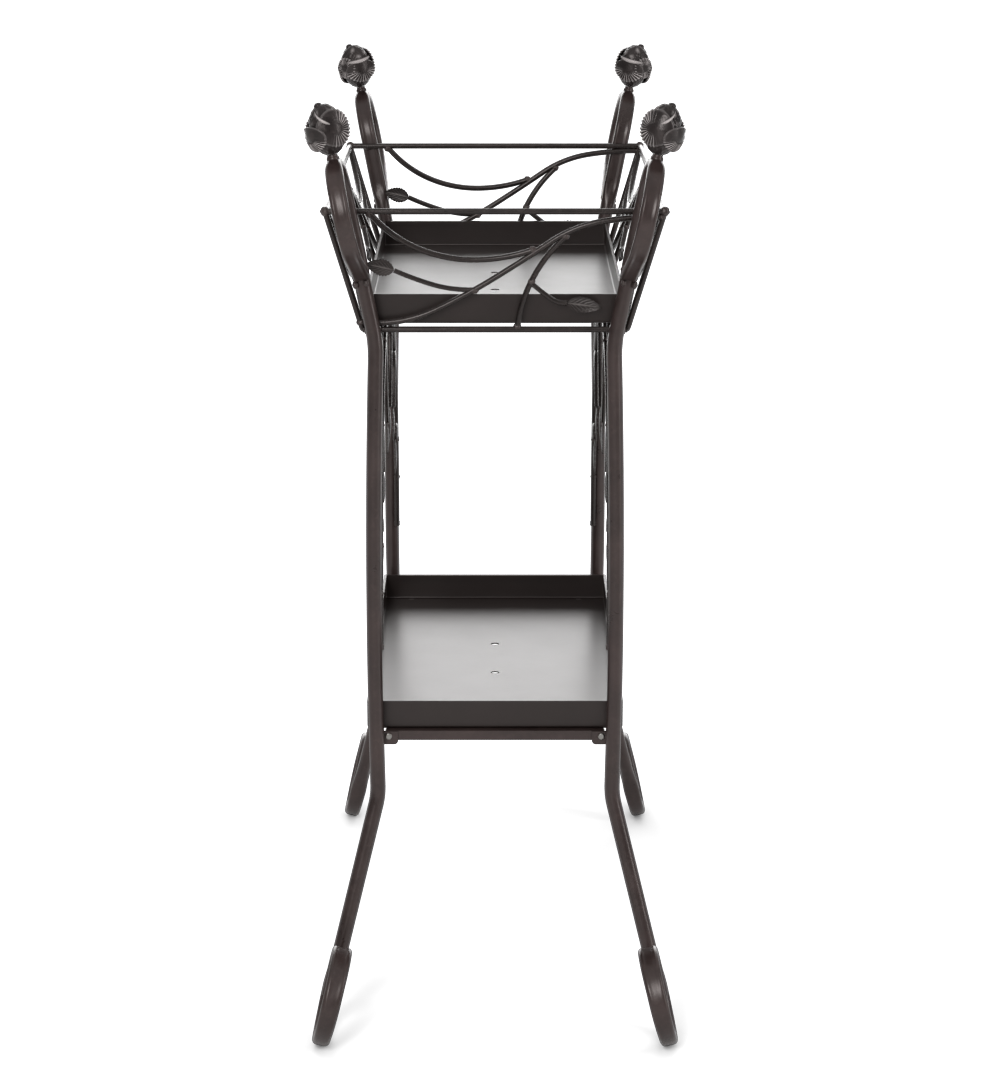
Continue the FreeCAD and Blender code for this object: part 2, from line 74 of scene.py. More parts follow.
def ease(value, low, high):
    """Smooth step from 0 at low to 1 at high: 3t^2 - 2t^3 with t the clamped share of the way."""
    t = np.clip((value - low) / (high - low), 0, 1)
    return t * t * (3 - 2 * t)


def turn(centre, up, radius, first, last):
    """Points on a circle that stands along up: centre + radius (outward cos a + up sin a), with a from first
    to last in even steps."""
    a = np.linspace(first, last, int(abs(last - first) * radius / arc_step) + 2)[:, None]
    return centre + radius * (out_way * np.cos(a) + up * np.sin(a))


def bend(before, corner, after, radius):
    """Tangent arc at a corner of the tube: the circle that touches both runs, from one touch to the other."""
    back, ahead = unit(before - corner), unit(after - corner)
    half = math.acos(float(back @ ahead)) / 2
    middle = corner + unit(back + ahead) * radius / math.sin(half)
    inward = unit(corner - middle)
    along = unit(ahead - back)
    a = np.linspace(half - math.pi / 2, math.pi / 2 - half, bend_steps)[:, None]
    return middle + radius * (inward * np.cos(a) + along * np.sin(a))


def foot_line():
    """The scroll foot's middle line: a short straight tip, a quarter turn, and a wide turn on to the shank.
    The wide turn ends where the line to the knee touches its circle."""
    lowest = math.hypot(flat_depth * foot_up[2], scroll_width * foot_normal[2])
    scroll_z = scroll_radius * foot_up[2] + lowest
    scroll = np.array([knee_x + splay * (knee_z - scroll_z), scroll_y, scroll_z])
    reach = scroll - np.array([knee_x, leg_y, knee_z])
    tilt = math.atan2(reach @ out_way, -reach @ foot_up) - math.asin(scroll_radius / np.linalg.norm(reach))
    inner = scroll + foot_up * (scroll_radius - scroll_inner_radius)
    tip = inner - out_way * scroll_inner_radius
    return np.concatenate([[tip - foot_up * tip_length],
                           turn(inner, foot_up, scroll_inner_radius, math.pi, math.pi / 2),
                           turn(scroll, foot_up, scroll_radius, 2.5 * math.pi, math.pi + tilt)])


def leg_line():
    """The tube's middle line from the scroll's tip to the loop's end, as even stations, how flat the tube is
    at each, and the point on top of the loop."""
    foot = foot_line()
    knee = np.array([knee_x, leg_y, knee_z])
    bow = np.array([bow_x, leg_y, bow_z])
    shoulder = np.array([shoulder_x, leg_y, shoulder_z])
    lean = math.atan2(flare_way @ out_way, flare_way @ loop_up)
    loop_z = loop_top_z - flat_depth - loop_radius * loop_up[2]
    touch_z = loop_z + loop_radius * math.sin(lean) * loop_up[2]
    touch = shoulder + flare_way * (touch_z - shoulder_z) / flare_way[2]
    loop = touch + out_way * loop_radius * math.cos(lean) - loop_up * loop_radius * math.sin(lean)
    over = turn(loop, loop_up, loop_radius, math.pi - lean, loop_fall)
    fall_way = out_way * math.sin(loop_fall) - loop_up * math.cos(loop_fall)
    end = over[-1] + fall_way * (over[-1][2] - loop_end_z) / -fall_way[2]
    rough = np.concatenate([foot, bend(foot[-1], knee, bow, knee_radius),
                            bend(knee, bow, shoulder, bow_radius),
                            bend(bow, shoulder, touch, shoulder_radius), over, end[None]])
    length = np.concatenate([[0], np.cumsum(np.linalg.norm(np.diff(rough, axis=0), axis=1))])
    along = np.linspace(0, length[-1], stations)
    line = np.stack([np.interp(along, length, rough[:, i]) for i in range(3)], 1)
    foot_end = length[len(foot) - 1]
    loop_begin = length[-1] - np.linalg.norm(end - over[-1]) - (math.pi - lean - loop_fall) * loop_radius
    loop_begin -= (touch_z - loop_start_z) / flare_way[2]
    flat = 1 - ease(along, foot_end, foot_end + flattening_run)
    flat += ease(along, loop_begin - flattening_run, loop_begin)
    return line, flat, loop + loop_up * (loop_radius + flat_depth)


def round_grid(line, across, outward, half_width, half_depth, flat, dish, columns=44):
    """Tube skin: each station's ring is across x cos a + outward x sin a, squared off a little where it is
    flat. On the outward side the ring sinks by the dish times a bell of its place across the width."""
    a = np.linspace(0, 2 * math.pi, columns + 1)[None, :]
    square = 1 - squareness * flat[:, None]
    x = np.sign(np.cos(a)) * np.abs(np.cos(a)) ** square
    y = np.sign(np.sin(a)) * np.abs(np.sin(a)) ** square
    sunk = dish[:, None] * np.exp(-(x / dish_share) ** 4) * ease(y, 0.0, 0.7)
    wide = half_width[:, None] * x
    deep = half_depth[:, None] * y - sunk
    return line[:, None] + across[:, None] * wide[..., None] + outward[:, None] * deep[..., None]


def open_end(ring, centre, inward):
    """Cut end of a tube: the ring shrunk to the wall's inside, carried inward, then closed deep in the dark.
    Each step gives the ring's size and how deep it lies."""
    steps = ((1.0, 0.0004), (0.97, 0.0), (0.88, 0.0), (0.84, 0.0005), (0.84, 0.011), (0.0, 0.011))
    return np.stack([centre + (ring - centre) * size + inward * depth for size, depth in steps])


def make_mesh(name, grids):
    """One mesh from grids of points: a quad between each four neighbours, wound outward by the grid's signed
    volume. Doubled points along seams and at poles are merged. A fourth number at each point is how far it is
    painted lighter, a painted highlight."""
    seam_gap = 4e-6
    highlight_marks = [g[..., 3].ravel() if g.shape[2] > 3 else np.zeros(g[..., 0].size) for g in grids]
    grids = [g[..., :3] for g in grids]
    quads, start = [], 0
    for grid in grids:
        rows, columns = grid.shape[:2]
        index = np.arange(rows * columns).reshape(rows, columns)
        face = np.stack([index[:-1, :-1], index[1:, :-1], index[1:, 1:], index[:-1, 1:]], -1).reshape(-1, 4)
        point = grid.reshape(-1, 3) - grid.reshape(-1, 3).mean(0)
        one, two, three, four = (point[face[:, i]] for i in range(4))
        volume = (one * np.cross(two, three)).sum() + (one * np.cross(three, four)).sum()
        quads.append((face if volume > 0 else face[:, ::-1]) + start)
        start += rows * columns
    mesh = bpy.data.meshes.new(name)
    points = np.concatenate([g.reshape(-1, 3) for g in grids])
    mesh.from_pydata(points.tolist(), [], np.concatenate(quads).tolist())
    mesh.attributes.new("wear_and_highlight", "FLOAT", "POINT").data.foreach_set("value", np.concatenate(highlight_marks))
    merged = bmesh.new()
    merged.from_mesh(mesh)
    bmesh.ops.remove_doubles(merged, verts=merged.verts, dist=seam_gap)
    merged.to_mesh(mesh)
    merged.free()
    mesh.polygons.foreach_set("use_smooth", [True] * len(mesh.polygons))
    return mesh


def fit_piece(name, grids, material, replaced=(), body="stand"):
    """Link a piece made from grids, give it its finish, and fix it to its body."""
    piece = bpy.data.objects.new(name, make_mesh(name, grids))
    bpy.context.scene.collection.objects.link(piece)
    piece.data.materials.append(material)
    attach(piece, body)
    if replaced:
        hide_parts(*replaced)


def corner_signs(name):
    """What turns the rear right corner's points into another corner's: a sign for each of x, y and z."""
    return np.array([*corners[name], 1.0])


def new_group(name, inputs, outputs):
    """An empty shader node group with the named inputs and outputs."""
    group = bpy.data.node_groups.new(name, "ShaderNodeTree")
    for label, kind, value in inputs:
        group.interface.new_socket(label, in_out="INPUT", socket_type=kind).default_value = value
    for label, kind in outputs:
        group.interface.new_socket(label, in_out="OUTPUT", socket_type=kind)
    return group, group.nodes.new("NodeGroupInput"), group.nodes.new("NodeGroupOutput")


def place(tree, kind, links, **settings):
    """Add a node, set its settings and its inputs: a socket is linked and anything else is a value."""
    made = tree.nodes.new(kind)
    for key, value in settings.items():
        setattr(made, key, value)
    for key, value in links.items():
        if isinstance(value, bpy.types.NodeSocket):
            tree.links.new(value, made.inputs[key])
        else:
            made.inputs[key].default_value = value
    return made


def coat_group():
    """Powder coat: cloudy tone from coarse noise, a faint random scuffing of lighter tone, gloss that varies
    with it, and an orange-peel height from two sizes of fine noise."""
    group, given, put = new_group(
        "powder_coat",
        [("Deep", "NodeSocketColor", (0.02, 0.015, 0.013, 1)),
         ("Rubbed", "NodeSocketColor", (0.05, 0.04, 0.036, 1)),
         ("Gloss low", "NodeSocketFloat", 0.3), ("Gloss high", "NodeSocketFloat", 0.45),
         ("Peel size", "NodeSocketFloat", 700.0)],
        [("Color", "NodeSocketColor"), ("Roughness", "NodeSocketFloat"), ("Height", "NodeSocketFloat")])
    where = group.nodes.new("ShaderNodeTexCoord").outputs["Object"]
    cloud = place(group, "ShaderNodeTexNoise", {"Vector": where, "Scale": 22.0, "Detail": 5.0,
                                                "Roughness": 0.6})
    scuff = place(group, "ShaderNodeTexNoise", {"Vector": where, "Scale": 160.0, "Detail": 4.0,
                                                "Distortion": 0.8})
    peel = place(group, "ShaderNodeTexNoise", {"Vector": where, "Scale": given.outputs["Peel size"],
                                               "Detail": 2.0})
    tone = place(group, "ShaderNodeMapRange", {"Value": cloud.outputs["Fac"], "From Min": 0.36,
                                               "From Max": 0.66})
    # The scuffing is random wear of the coat, lighter in tone.
    wear_and_highlight = place(group, "ShaderNodeMapRange", {"Value": scuff.outputs["Fac"], "From Min": 0.52,
                                              "From Max": 0.72, "To Max": 0.45})
    share = place(group, "ShaderNodeMath", {0: tone.outputs["Result"], 1: 0.7}, operation="MULTIPLY")
    both = place(group, "ShaderNodeMath", {0: share.outputs[0], 1: wear_and_highlight.outputs["Result"]}, operation="ADD",
                 use_clamp=True)
    colour = place(group, "ShaderNodeMix", {"Factor": both.outputs[0], "A": given.outputs["Deep"],
                                            "B": given.outputs["Rubbed"]}, data_type="RGBA")
    gloss = place(group, "ShaderNodeMapRange", {"Value": both.outputs[0], "To Min": given.outputs["Gloss low"],
                                                "To Max": given.outputs["Gloss high"]})
    fine = place(group, "ShaderNodeMath", {0: scuff.outputs["Fac"], 1: 0.35, 2: peel.outputs["Fac"]},
                 operation="MULTIPLY_ADD")
    group.links.new(colour.outputs["Result"], put.inputs["Color"])
    group.links.new(gloss.outputs["Result"], put.inputs["Roughness"])
    group.links.new(fine.outputs[0], put.inputs["Height"])
    return group


powder = coat_group()


def coated(name, deep, rubbed, gloss, peel_size, peel_height, shine=0.5, coat=0.0, highlight_tone=None):
    """A coated metal: the powder coat group feeds colour, gloss and a low bump, and a clear gloss may lie over
    it. Where the mesh marks a point, the tone goes over to a lighter one, a painted highlight."""
    material = bpy.data.materials.new(name)
    material.use_nodes = True
    tree = material.node_tree
    surface = tree.nodes["Principled BSDF"]
    finish = place(tree, "ShaderNodeGroup", {}, node_tree=powder)
    for key, value in (("Deep", (*deep, 1)), ("Rubbed", (*rubbed, 1)), ("Gloss low", gloss[0]),
                       ("Gloss high", gloss[1]), ("Peel size", peel_size)):
        finish.inputs[key].default_value = value
    bump = place(tree, "ShaderNodeBump", {"Strength": 0.5, "Distance": peel_height,
                                          "Height": finish.outputs["Height"]})
    tone = finish.outputs["Color"]
    # Painted highlight: marked points are painted in the lighter tone.
    if highlight_tone:
        wear_and_highlight = place(tree, "ShaderNodeAttribute", {}, attribute_name="wear_and_highlight").outputs["Fac"]
        tone = place(tree, "ShaderNodeMix", {"Factor": wear_and_highlight, "A": tone, "B": (*highlight_tone, 1)},
                     data_type="RGBA").outputs["Result"]
    tree.links.new(tone, surface.inputs["Base Color"])
    tree.links.new(finish.outputs["Roughness"], surface.inputs["Roughness"])
    tree.links.new(bump.outputs["Normal"], surface.inputs["Normal"])
    surface.inputs["Specular IOR Level"].default_value = shine
    surface.inputs["Specular Tint"].default_value = (1.0, 0.92, 0.90, 1)
    surface.inputs["Coat Weight"].default_value = coat
    surface.inputs["Coat Roughness"].default_value = 0.2
    return material


bronze = coated("satin_bronze_coat", deep=(0.020, 0.0125, 0.0115), rubbed=(0.044, 0.029, 0.027),
                gloss=(0.27, 0.38), peel_size=620.0, peel_height=0.00008)

# The flat side of the tube turns from the foot's plane to the upright's, and then to the loop's. The tube is a
# little wider up the scroll's side, narrower on its sole, and pinched on the crest under the collar.
foot_turn, loop_turn = (0.19, 0.26), (0.70, 0.78)
sole_heights, dish_heights, side_heights = (0.0, 0.06), (0.05, 0.10), (0.07, 0.105)
side_gain, sole_loss, sole_dish, crest_pinch, crest_length = 0.0006, 0.0009, 0.4, 0.26, 0.013
line, flat, loop_top = leg_line()
tangent = unit(np.gradient(line, axis=0))
height = line[:, 2]
low_part, high_part = 1 - ease(line[:, 2:], *foot_turn), ease(line[:, 2:], *loop_turn)
upright_normal = np.array([1.0, 0, 0])
sideways = low_part * foot_normal + high_part * loop_normal + (1 - low_part - high_part) * upright_normal
sideways = unit(sideways - tangent * (sideways * tangent).sum(1, keepdims=True))
bend_out = np.cross(sideways, tangent)
crown = side_gain * ease(height, *side_heights) - sole_loss * (1 - ease(height, *sole_heights))
half_width = tube_radius + flat * (np.where(height < knee_z, scroll_width + crown, loop_width) - tube_radius)
crest = np.exp(-((line - loop_top + loop_up * flat_depth) ** 2).sum(1) / crest_length ** 2)
half_width = half_width * (1 - crest_pinch * crest)
half_depth = tube_radius - flat * (tube_radius - flat_depth)
foot_dish = sole_dish + (1 - sole_dish) * ease(height, *dish_heights)
dish = flat * dish_depth * np.where(height < knee_z, foot_dish, 1 - crest)
skin = round_grid(line, sideways, bend_out, half_width, half_depth, flat, dish)
tip_mouth = open_end(skin[0], line[0], tangent[0])[::-1]
loop_mouth = open_end(skin[-1], line[-1], -tangent[-1])
leg_grid = np.concatenate([tip_mouth, skin[1:-1], loop_mouth])
for corner in corners:
    fit_piece("bent_leg_" + corner, [leg_grid * corner_signs(corner)], bronze,
              ["leg_" + corner])


# Weld beads. Short runs of weld metal, laid by hand and left as they cooled, so each is a low rippled lump.
# They join the loop's end to the leg, the basket to the legs, and the rods and branches to one another.

def bead(centre, radius, along=(0, 0, 1), stretch=1.0, turn_by=0.0):
    """A rippled lump: a sphere's point (sin u cos v, sin u sin v, cos u) with its radius waved by
    sin(7u + turn) and cos(3v + 2 turn), then stretched along one way."""
    u, v = np.meshgrid(np.linspace(0, math.pi, 13), np.linspace(0, 2 * math.pi, 19), indexing="ij")
    wave = 1 + np.sin(u) ** 2 * (0.09 * np.sin(7 * u + turn_by) + 0.07 * np.cos(3 * v + 2 * turn_by))
    along = unit(along)
    side = unit(np.cross(along, [0.3, 0.9, 0.2]))
    other = np.cross(along, side)
    x, y, z = np.sin(u) * np.cos(v) * wave, np.sin(u) * np.sin(v) * wave, np.cos(u) * wave * stretch
    return np.asarray(centre) + radius * (x[..., None] * side + y[..., None] * other + z[..., None] * along)


weld_coat = coated("weld_bead_coat", deep=(0.024, 0.016, 0.015), rubbed=(0.062, 0.048, 0.045),
                   gloss=(0.32, 0.46), peel_size=900.0, peel_height=0.00022)
weld_lifts, weld_spread, weld_radius = (-0.011, -0.004, 0.003), 0.0058, 0.0030
loop_foot = line[-1] - bend_out[-1] * 0.004 + tangent[-1] * 0.001
loop_beads = []
for index, corner in enumerate(corners):
    signs = corner_signs(corner)
    for step, lift in enumerate(weld_lifts):
        for side in (-1, 1):
            spot = loop_foot + side * sideways[-1] * weld_spread + np.array([0, 0, lift])
            loop_beads.append(bead(spot * signs, weld_radius, flare_way * signs, 1.3, index + step + side))
fit_piece("loop_welds", loop_beads, weld_coat)


# Collars and buds. Each loop carries a cast bud screwed on over a short turned collar. The bud is an opening
# rose: a knobbly domed heart, a rolled lip across it, and shell petals whose rims are cast into sharp flutes.
# It has a copy of the tube's coat painted darker, as painted shade, the casting's grain shows through, and the
# ribs, rims, lip crests and knob tops are painted lighter as painted highlights.

collar_height, bud_height = 0.004, 0.0515
bud_widest, bud_half_height, bud_girth, neck_radius = 0.0255, 0.0262, 0.0198, 0.0050
petal_sheet, petal_limit = 0.0014, 0.0236
nub_height, nub_shift = 0.0488, 0.0038
# The bud's deep tone is the tube's coat painted darker, as painted shade, and its lighter tone is the painted
# highlight on the marked ribs, rims, lip crests and knob tops.
cast_coat = coated("cast_bud_coat", deep=(0.008, 0.006, 0.006), rubbed=(0.038, 0.030, 0.029),
                   gloss=(0.26, 0.42), peel_size=420.0, peel_height=0.00045, shine=0.4,
                   highlight_tone=(0.60, 0.55, 0.54))
collar_profile = np.array([[0.0, -0.0030], [0.0060, -0.0030], [0.0064, -0.0006], [0.0062, 0.0008],
                           [0.0053, 0.0020], [0.0050, 0.0030], [0.0054, 0.0040], [0.0, 0.0040]])
nub_profile = np.array([[0.0, 0.0], [0.0042, 0.0], [0.0040, 0.0022], [0.0026, 0.0042], [0.0, 0.0047]])


def turned(profile, base, columns=40):
    """A profile of (radius, height) carried round the finial's leaning axis."""
    a = np.linspace(0, 2 * math.pi, columns + 1)[None, :, None]
    ring = loop_normal * np.cos(a) + out_way * np.sin(a)
    return base + profile[:, None, :1] * ring + profile[:, None, 1:] * loop_up


def body_radius(height):
    """The bud's girth at a height: an oval about its widest height, and never thinner than its neck."""
    rise = (height - bud_widest) / bud_half_height
    return np.maximum(bud_girth * np.sqrt(np.clip(1 - rise ** 2, 0, 1)), neck_radius)


def finial_points(angle, height, radius, wear_and_highlight):
    """Points round the finial's leaning axis, radius (sideways cos angle + outward sin angle) + height upward,
    each with how far it is painted lighter as a painted highlight."""
    ring = loop_normal * np.cos(angle)[..., None] + out_way * np.sin(angle)[..., None]
    return np.concatenate([radius[..., None] * ring + loop_up * height[..., None], wear_and_highlight[..., None]], -1)


def shell_petal(facing, middle, spread, rise, fall, lift, ribs, bold, smooth_way=None, puff=0.0):
    """A shell petal on the bud: angle = facing + spread rho sin psi, height = middle + rise rho cos psi, or
    fall in place of rise below the middle, and it stands off the girth by lift rho^3 + puff (1 - rho^2). Its
    ribs are the upper parts of cos(ribs psi), as high as bold. They start a third of the way out, wander a
    little, and fade toward the way psi = smooth_way. Ribs and rim are painted lighter, as painted highlights."""
    round_steps = np.linspace(-math.pi, math.pi, 16 * ribs + 1)
    rho, psi = np.meshgrid(np.linspace(0.0, 1.0, 26), round_steps, indexing="ij")
    faded = 1.0 if smooth_way is None else ease(np.cos(psi - smooth_way - math.pi), -0.35, 0.35)
    wander = 0.9 * np.sin(3 * psi + facing) + 2.2 * rho
    rib = np.clip((np.cos(ribs * psi + wander) + 0.25) / 1.25, 0, 1) * faded * ease(rho, 0.22, 0.45)
    reach = rho * (1 + 0.05 * rib - 0.025)
    height = middle + np.where(np.cos(psi) > 0, rise, fall) * reach * np.cos(psi)
    angle = math.radians(facing) + math.radians(spread) * reach * np.sin(psi)
    stand = lift * rho ** 3 + puff * (1 - rho ** 2) + bold * rib - petal_sheet * ease(rho, 0.93, 1.0)
    uneven = 0.35 + 0.65 * np.sin(2.3 * psi + facing) ** 2
    # Painted highlight: the ribs and the rim are painted lighter, more on some ribs than on others.
    wear_and_highlight = np.clip(rib ** 2.2 * uneven + 0.12 * ease(rho, 0.88, 0.96), 0, 1)
    skin = np.minimum(body_radius(height) + stand, petal_limit)
    back = skin - petal_sheet - 0.0010 * (1 - rho) - puff * (1 - rho ** 2)
    return np.concatenate([finial_points(angle, height, skin, wear_and_highlight),
                           finial_points(angle, height, back, wear_and_highlight * 0)[::-1]])


def bud_heart():
    """The bud's body: the girth turned about the axis, shrunk by a tenth and knobbled near its top."""
    t, a = np.meshgrid(np.linspace(0, 1, 90), np.linspace(0, 2 * math.pi, 121), indexing="ij")
    height = bud_height * t
    radius = body_radius(height) * (0.93 - 0.04 * ease(t, 0.35, 0.8))
    radius = np.where((t < 0.005) | (t > 0.995), 0.0, radius)
    knobs = ease(t, 0.55, 0.75) * np.sin(5 * a + 7 * t) * np.sin(21 * t + 1.5 * np.cos(2 * a))
    grain = 0.00035 * np.sin(17 * a + 9 * t) * np.sin(46 * t + 2 * np.cos(a))
    # Painted highlight: the tops of the knobs are painted lighter.
    wear_and_highlight = np.clip(knobs, 0, 1) ** 2 * 0.4
    return finial_points(a, height, np.where(radius > 0, radius + grain + 0.0007 * knobs, 0.0), wear_and_highlight)


def rolled_lip(start, end, girth, lift):
    """A tapering roll laid across the bud from one (angle, height) to another: a circle of girth sin(pi t)^0.5
    carried along a line on the body, with its back painted lighter as a painted highlight."""
    t, a = np.meshgrid(np.linspace(0, 1, 40), np.linspace(0, 2 * math.pi, 21), indexing="ij")
    angle = np.radians(start[0] + (end[0] - start[0]) * t)
    rise = start[1] + (end[1] - start[1]) * t - 0.0018 * np.sin(math.pi * t)
    taper = np.sin(math.pi * t) ** 0.5
    size = girth * taper
    radius = np.minimum(body_radius(rise) + lift + size * np.cos(a), petal_limit)
    return finial_points(angle, rise + size * np.sin(a), radius, 0.75 * ease(np.cos(a), 0.2, 0.9) * taper)


bud_grids = [
    bud_heart(),
    shell_petal(facing=122, middle=0.0262, spread=62, rise=0.0205, fall=0.0185, lift=0.0030, ribs=30,
                bold=0.0013, smooth_way=-1.3, puff=0.0006),
    shell_petal(facing=34, middle=0.0200, spread=56, rise=0.0130, fall=0.0135, lift=0.0034, ribs=34,
                bold=0.0012, smooth_way=0.3, puff=0.0030),
    shell_petal(facing=248, middle=0.0215, spread=58, rise=0.0120, fall=0.0150, lift=0.0034, ribs=28,
                bold=0.0009, smooth_way=0.0, puff=0.0018),
    shell_petal(facing=312, middle=0.0270, spread=42, rise=0.0120, fall=0.0130, lift=0.0020, ribs=22,
                bold=0.0009),
    rolled_lip((54, 0.0478), (107, 0.0318), girth=0.0022, lift=0.0012),
    rolled_lip((205, 0.0350), (300, 0.0330), girth=0.0024, lift=0.0016),
]
bud_base = loop_top + loop_up * collar_height
for corner in corners:
    signs = corner_signs(corner)
    bud = [(grid + np.array([*bud_base, 0.0])) * np.array([*signs, 1.0]) for grid in bud_grids]
    nub = turned(nub_profile, bud_base + loop_up * nub_height + loop_normal * nub_shift, 24) * signs
    fit_piece("rose_bud_" + corner, bud + [nub], cast_coat, ["bud_finial_" + corner])
fit_piece("turned_collars", [turned(collar_profile, loop_top) * corner_signs(corner) for corner in corners],
          bronze, ["finial_collars"])


# Basket. Round steel rod, cut and welded: bottom rails, sloping corner rods and top rails. The rods keep the
# shapes of the frame, and only take a coat, the tube's bronze painted darker as painted shade. A ball of weld
# metal sits in each top corner.

wire_radius, weld_gap = 0.003, 0.0001
corner_ball, lower_weld, rail_weld = 0.0047, 0.0032, 0.0036
basket_bottom = np.array([0.138, leg_y - tube_radius - wire_radius - weld_gap, 0.7542])
basket_top = np.array([0.1755, 0.2972, 0.879])
basket_rise = basket_top[2] - basket_bottom[2]
lower_joint, rail_joint = basket_bottom + [-0.0045, 0.0030, 0.0], np.array([0.1545, 0.2995, 0.8775])
# The rods' coat is the tube's bronze painted darker, as painted shade.
shaded_rod_coat = coated("shaded_wire_rod_coat", deep=(0.008, 0.006, 0.0055), rubbed=(0.022, 0.016, 0.0145),
                  gloss=(0.22, 0.32), peel_size=800.0, peel_height=0.00006, shine=0.42)


def refinish(names, material):
    """Give pieces of the frame, whose shapes stay as they are, their own finish."""
    for name in names:
        node[name].data.materials.clear()
        node[name].data.materials.append(material)


# The basket rods and the tray's cross bars take the darker coat, painted shade.
refinish([name for name in node if name.startswith("basket_")] + ["tray_cross_bars"], shaded_rod_coat)
basket_beads = []
for index, corner in enumerate(corners):
    signs = corner_signs(corner)
    basket_beads.append(bead(basket_top * signs, corner_ball, (0, 0, 1), 1.05, index))
    basket_beads.append(bead(lower_joint * signs, lower_weld, (0, 0, 1), 1.5, index + 0.5))
    basket_beads.append(bead(rail_joint * signs, rail_weld, (1, 0, 0), 1.6, index + 0.8))
fit_piece("basket_welds", basket_beads, weld_coat)


# Vine galleries. One spray of bent rod fills each end of the basket and two fill each long side: a stem, its
# branches, and stamped sheet leaves with a pressed midrib and veins. Every joint is tacked with a small bead.

leaf_width, leaf_sheet, midrib_height, vein_height = 0.0172, 0.0012, 0.0011, 0.0008
spray_corner, side_shrink, end_tack, side_tack = 138, 0.94, 0.0036, 0.0034
leaf_spots = {"left_leaf": ((-105, 63), (-134, 69.5)), "right_leaf": ((75, 28.2), (111, 23.5))}
joint_spots = ((-140.5, 8), (173.0, 119), (-130, 122), (39, 84.5), (-21, 41.5), (73, 98.5), (23.2, 3),
               (38, 51))
# The leaves' lighter tone is the painted highlight on the pressed midrib and veins.
leaf_coat = coated("stamped_leaf_coat", deep=(0.008, 0.006, 0.006), rubbed=(0.030, 0.024, 0.022),
                   gloss=(0.28, 0.42), peel_size=520.0, peel_height=0.00016, shine=0.4,
                   highlight_tone=(0.14, 0.125, 0.12))


def leaf_grid(base, tip, normal):
    """A stamped leaf. Its half width is width/2 x sin(pi v^0.8)^0.75 along its length v, it is cupped by u^2,
    and it is pressed with a round midrib and with slanting veins, ridges of v - 0.38|u| at even steps."""
    u, v = np.meshgrid(np.linspace(-1, 1, 41), np.linspace(0, 1, 81), indexing="ij")
    along = unit(tip - base)
    across = np.cross(normal, along)
    length = np.linalg.norm(tip - base)
    half = leaf_width / 2 * np.sin(math.pi * v ** 0.8) ** 0.75 * (1 + 0.05 * np.sin(v * 60))
    veins = np.clip(np.abs(((v - 0.38 * np.abs(u)) * 6.5) % 1 - 0.5) * 2 - 0.72, 0, 1) / 0.28 * (1 - u ** 4)
    pressed = midrib_height * np.exp(-(u / 0.10) ** 2) + vein_height * veins
    edge = (1 - u ** 8) * np.sin(math.pi * v) ** 0.3
    out = pressed * edge + 0.0014 * u ** 2 - 0.0016 * np.sin(math.pi * v)
    middle = base + along * (length * v)[..., None] + across * (half * u)[..., None]
    front = middle + normal * (out + leaf_sheet / 2 * edge)[..., None]
    back = middle + normal * (out - leaf_sheet / 2 * edge)[..., None]
    # Painted highlight: the pressed midrib and veins are painted lighter.
    wear_and_highlight = (np.clip(pressed / midrib_height, 0, 1) * edge)[..., None]
    return np.concatenate([np.concatenate([front, wear_and_highlight], -1), np.concatenate([back, wear_and_highlight], -1)[::-1]])


def end_spot(across, up, side_y):
    """A point of an end gallery from its place across and up, in millimetres, on the basket's leaning end."""
    up = up / 1000
    y = basket_bottom[1] + (basket_top[1] - basket_bottom[1]) * up / basket_rise
    return np.array([across / 1000, side_y * y, basket_bottom[2] + up])


def side_spot(across, up, side_x, half):
    """The same point on one half of a long side: the spray is drawn in a little and starts at the corner."""
    up = up / 1000
    x = basket_bottom[0] + (basket_top[0] - basket_bottom[0]) * up / basket_rise
    y = basket_bottom[1] - side_shrink * (across + spray_corner) / 1000
    return np.array([side_x * x, half * y, basket_bottom[2] + up])


for end, side_y in (("front", -1), ("rear", 1)):
    facing = unit([0, -1, -side_y * (basket_top[1] - basket_bottom[1]) / basket_rise])
    for leaf, (base, tip) in leaf_spots.items():
        grid = leaf_grid(end_spot(*base, side_y), end_spot(*tip, side_y), facing)
        fit_piece("stamped_" + end + "_" + leaf, [grid], leaf_coat,
                  [end + "_vine_" + leaf])
    tacks = [bead(end_spot(*spot, side_y), end_tack, (1, 0, 0.4), 1.15, index)
             for index, spot in enumerate(joint_spots)]
    fit_piece(end + "_gallery_tacks", tacks, weld_coat)
for side, side_x in (("left", -1), ("right", 1)):
    facing = unit([side_x, 0, -(basket_top[0] - basket_bottom[0]) / basket_rise])
    grids, tacks = [], []
    for half in (-1, 1):
        for base, tip in leaf_spots.values():
            grids.append(leaf_grid(side_spot(*base, side_x, half), side_spot(*tip, side_x, half), facing))
        tacks += [bead(side_spot(*spot, side_x, half), side_tack, (0, 1, 0.4), 1.15, index)
                  for index, spot in enumerate(joint_spots[2:])]
    fit_piece("stamped_" + side + "_leaves", grids, leaf_coat, [side + "_vine_leaves"])
    fit_piece(side + "_gallery_tacks", tacks, weld_coat)
# The gallery rods take the darker coat, painted shade.
refinish([name for name in node if "_vine_" in name and not name.endswith(("leaf", "leaves"))], shaded_rod_coat)


# Aprons. Under the basket on each long side two stems arch up from the legs and meet in the middle. They are
# the same rod, with braces and short twigs that carry hanging leaves, and small weld beads tack them together.

apron_x, apron_tack = 0.122, 0.0036
apron_leaves = (((248, 528), (243, 482)), ((181, 580), (166, 541)), ((44, 608), (28, 566)))
apron_joints = ((291.0, 411), (281, 520), (225, 640), (120, 712), (291.5, 470))


def apron_spot(y, z, side_x, half):
    """A point of an apron from its place along the side and its height, in millimetres."""
    return np.array([side_x * apron_x, half * y / 1000, z / 1000])


